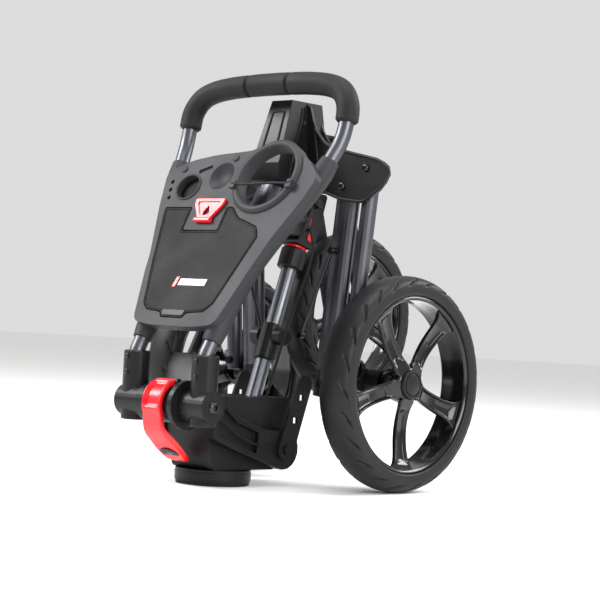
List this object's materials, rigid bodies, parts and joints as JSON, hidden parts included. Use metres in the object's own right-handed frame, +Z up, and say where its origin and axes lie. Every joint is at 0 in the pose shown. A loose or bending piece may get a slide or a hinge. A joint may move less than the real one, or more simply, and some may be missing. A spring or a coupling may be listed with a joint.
{
  "type": "folding golf push trolley",
  "caption": "Folding push trolley for a golf bag, shown folded on its foot: large rear wheels, a tucked front wheel, a looped handle with a console, and a red hinge lever.",
  "frame": {"origin": "floor level under the centre of the bounding box", "axes": "+X along the rear axle towards the right-hand wheel, +Y away from the console, +Z up"},
  "size_m": [0.302, 0.394, 0.442],
  "materials": {
    "black_plastic": "satin moulded nylon",
    "console_plastic": "fine-grained dark grey moulding",
    "panel_plastic": "smooth matt black panel",
    "red_plastic": "glossy moulded red",
    "gloss_black": "polished black moulding",
    "foam": "closed-cell foam with a fine skin",
    "rubber": "matt rubber",
    "tyre": "matt moulded tyre with curved sipes",
    "tube": "dark anodised tube",
    "bright_tube": "bright drawn tube",
    "steel": "zinc-plated fasteners"
  },
  "bodies": {
    "frame": {"base_foot": "black_plastic", "foot_pad": "rubber", "base_block": "black_plastic", "side_cheek_right": "black_plastic", "side_cheek_left": "black_plastic", "mast_tube": "bright_tube", "mast_collar": "black_plastic", "collar_ring": "red_plastic", "mast_head": "black_plastic", "top_housing": "black_plastic", "main_spine": "tube", "hinge_drum": "black_plastic", "lever_pin": "steel", "leg_pivot_bolt_right": "steel", "leg_pivot_bolt_left": "steel", "link_pivot_bolt_right": "steel", "link_pivot_bolt_left": "steel", "fork_pivot_bolt": "steel", "brake_cable": "rubber"},
    "lever": {"cam_lever": "red_plastic"},
    "pedal": {"brake_pedal": "black_plastic"},
    "handle": {"handle_tube": "tube", "grip_left": "foam", "grip_centre": "foam", "grip_right": "foam", "console_tray": "console_plastic", "cup_cord": "rubber", "hinge_socket_left": "black_plastic", "hinge_socket_right": "black_plastic", "hinge_bolt": "steel"},
    "lid": {"scorecard_lid": "panel_plastic"},
    "clip": {"scorecard_clip": "red_plastic"},
    "slider": {"slider_sleeve": "black_plastic"},
    "fork": {"front_fork": "black_plastic", "front_axle": "steel"},
    "front_wheel": {"front_wheel_tyre": "tyre", "front_wheel_rim": "gloss_black"},
    "leg_right": {"leg_tube_right": "tube", "leg_knuckle_right": "black_plastic"},
    "link_right": {"link_tube_right": "tube"},
    "carrier_right": {"wheel_carrier_right": "black_plastic", "rear_axle_right": "steel"},
    "rod_right": {"spreader_rod_right": "steel"},
    "wheel_right": {"rear_wheel_right_tyre": "tyre", "rear_wheel_right_rim": "gloss_black", "rear_wheel_right_cap": "black_plastic"},
    "strap_right": {"retaining_strap_right": "rubber"},
    "leg_left": {"leg_tube_left": "tube", "leg_knuckle_left": "black_plastic"},
    "link_left": {"link_tube_left": "tube"},
    "carrier_left": {"wheel_carrier_left": "black_plastic", "rear_axle_left": "steel"},
    "rod_left": {"spreader_rod_left": "steel"},
    "wheel_left": {"rear_wheel_left_tyre": "tyre", "rear_wheel_left_rim": "gloss_black", "rear_wheel_left_cap": "black_plastic"},
    "strap_left": {"retaining_strap_left": "rubber"}
  },
  "joints": [
    {"name": "handle_fold", "type": "hinge", "parent": "frame", "child": "handle", "pos_m": [0, -0.171, 0.0835], "axis": [1, 0, 0], "range_deg": [0, 150]},
    {"name": "cam_lever_open", "type": "hinge", "parent": "frame", "child": "lever", "pos_m": [0, -0.1725, 0.10675], "axis": [-1, 0, 0], "range_deg": [0, 60]},
    {"name": "brake_pedal_press", "type": "hinge", "parent": "frame", "child": "pedal", "pos_m": [0, 0.00519, 0.30664], "axis": [-1, 0, 0], "range_deg": [0, 25], "stiffness_Nm_per_rad": 0.3, "springref_deg": -11.46},
    {"name": "scorecard_lid_open", "type": "hinge", "parent": "handle", "child": "lid", "pos_m": [0, -0.10992, 0.28847], "axis": [-1, 0, 0], "range_deg": [0, 80]},
    {"name": "scorecard_clip_lift", "type": "hinge", "parent": "handle", "child": "clip", "pos_m": [0, -0.10905, 0.29867], "axis": [-1, 0, 0], "range_deg": [0, 25], "stiffness_Nm_per_rad": 0.03, "springref_deg": -11.46},
    {"name": "slider_travel", "type": "slide", "parent": "frame", "child": "slider", "axis": [0, 0.3057, 0.9521], "range_m": [0, 0.0525]},
    {"name": "front_fork_fold", "type": "hinge", "parent": "frame", "child": "fork", "pos_m": [0, 0.039, 0.372], "axis": [1, 0, 0], "range_deg": [0, 110]},
    {"name": "front_wheel_spin", "type": "hinge", "parent": "fork", "child": "front_wheel", "pos_m": [0, 0.1005, 0.184], "axis": [1, 0, 0], "continuous": true},
    {"name": "leg_right_swing", "type": "hinge", "parent": "frame", "child": "leg_right", "pos_m": [0.073, 0.009, 0.323], "axis": [0, -1, 0], "range_deg": [0, 40]},
    {"name": "link_right_swing", "type": "hinge", "parent": "frame", "child": "link_right", "pos_m": [0.105, 0.009, 0.342], "axis": [0, -1, 0], "range_deg": [0, 40]},
    {"name": "carrier_right_level", "type": "hinge", "parent": "leg_right", "child": "carrier_right", "pos_m": [0.054, 0.009, 0.109], "axis": [0, 1, 0], "range_deg": [0, 40]},
    {"name": "rod_right_swing", "type": "hinge", "parent": "leg_right", "child": "rod_right", "pos_m": [0.06681, -0.008, 0.25327], "axis": [0, 1, 0], "range_deg": [0, 76]},
    {"name": "wheel_right_spin", "type": "hinge", "parent": "carrier_right", "child": "wheel_right", "pos_m": [0.131, 0.043, 0.1154], "axis": [1, 0, 0], "continuous": true},
    {"name": "strap_right_unhook", "type": "hinge", "parent": "frame", "child": "strap_right", "pos_m": [0, -0.039, 0.0385], "axis": [1, 0, 0], "range_deg": [0, 60]},
    {"name": "leg_left_swing", "type": "hinge", "parent": "frame", "child": "leg_left", "pos_m": [-0.073, 0.009, 0.323], "axis": [0, 1, 0], "range_deg": [0, 40]},
    {"name": "link_left_swing", "type": "hinge", "parent": "frame", "child": "link_left", "pos_m": [-0.105, 0.009, 0.342], "axis": [0, 1, 0], "range_deg": [0, 40]},
    {"name": "carrier_left_level", "type": "hinge", "parent": "leg_left", "child": "carrier_left", "pos_m": [-0.054, 0.009, 0.109], "axis": [0, -1, 0], "range_deg": [0, 40]},
    {"name": "rod_left_swing", "type": "hinge", "parent": "leg_left", "child": "rod_left", "pos_m": [-0.06681, -0.008, 0.25327], "axis": [0, -1, 0], "range_deg": [0, 76]},
    {"name": "wheel_left_spin", "type": "hinge", "parent": "carrier_left", "child": "wheel_left", "pos_m": [-0.131, 0.043, 0.1154], "axis": [1, 0, 0], "continuous": true},
    {"name": "strap_left_unhook", "type": "hinge", "parent": "frame", "child": "strap_left", "pos_m": [0, -0.039, 0.0385], "axis": [1, 0, 0], "range_deg": [0, 60]}
  ],
  "couplings": [
    {"joint": "slider_travel", "follows": "leg_right_swing", "m_per_rad": 0.0745},
    {"joint": "link_right_swing", "follows": "leg_right_swing", "ratio": 1},
    {"joint": "carrier_right_level", "follows": "leg_right_swing", "ratio": 1},
    {"joint": "rod_right_swing", "follows": "leg_right_swing", "ratio": 1.88},
    {"joint": "leg_left_swing", "follows": "leg_right_swing", "ratio": 1},
    {"joint": "link_left_swing", "follows": "leg_right_swing", "ratio": 1},
    {"joint": "carrier_left_level", "follows": "leg_right_swing", "ratio": 1},
    {"joint": "rod_left_swing", "follows": "leg_right_swing", "ratio": 1.88}
  ]
}
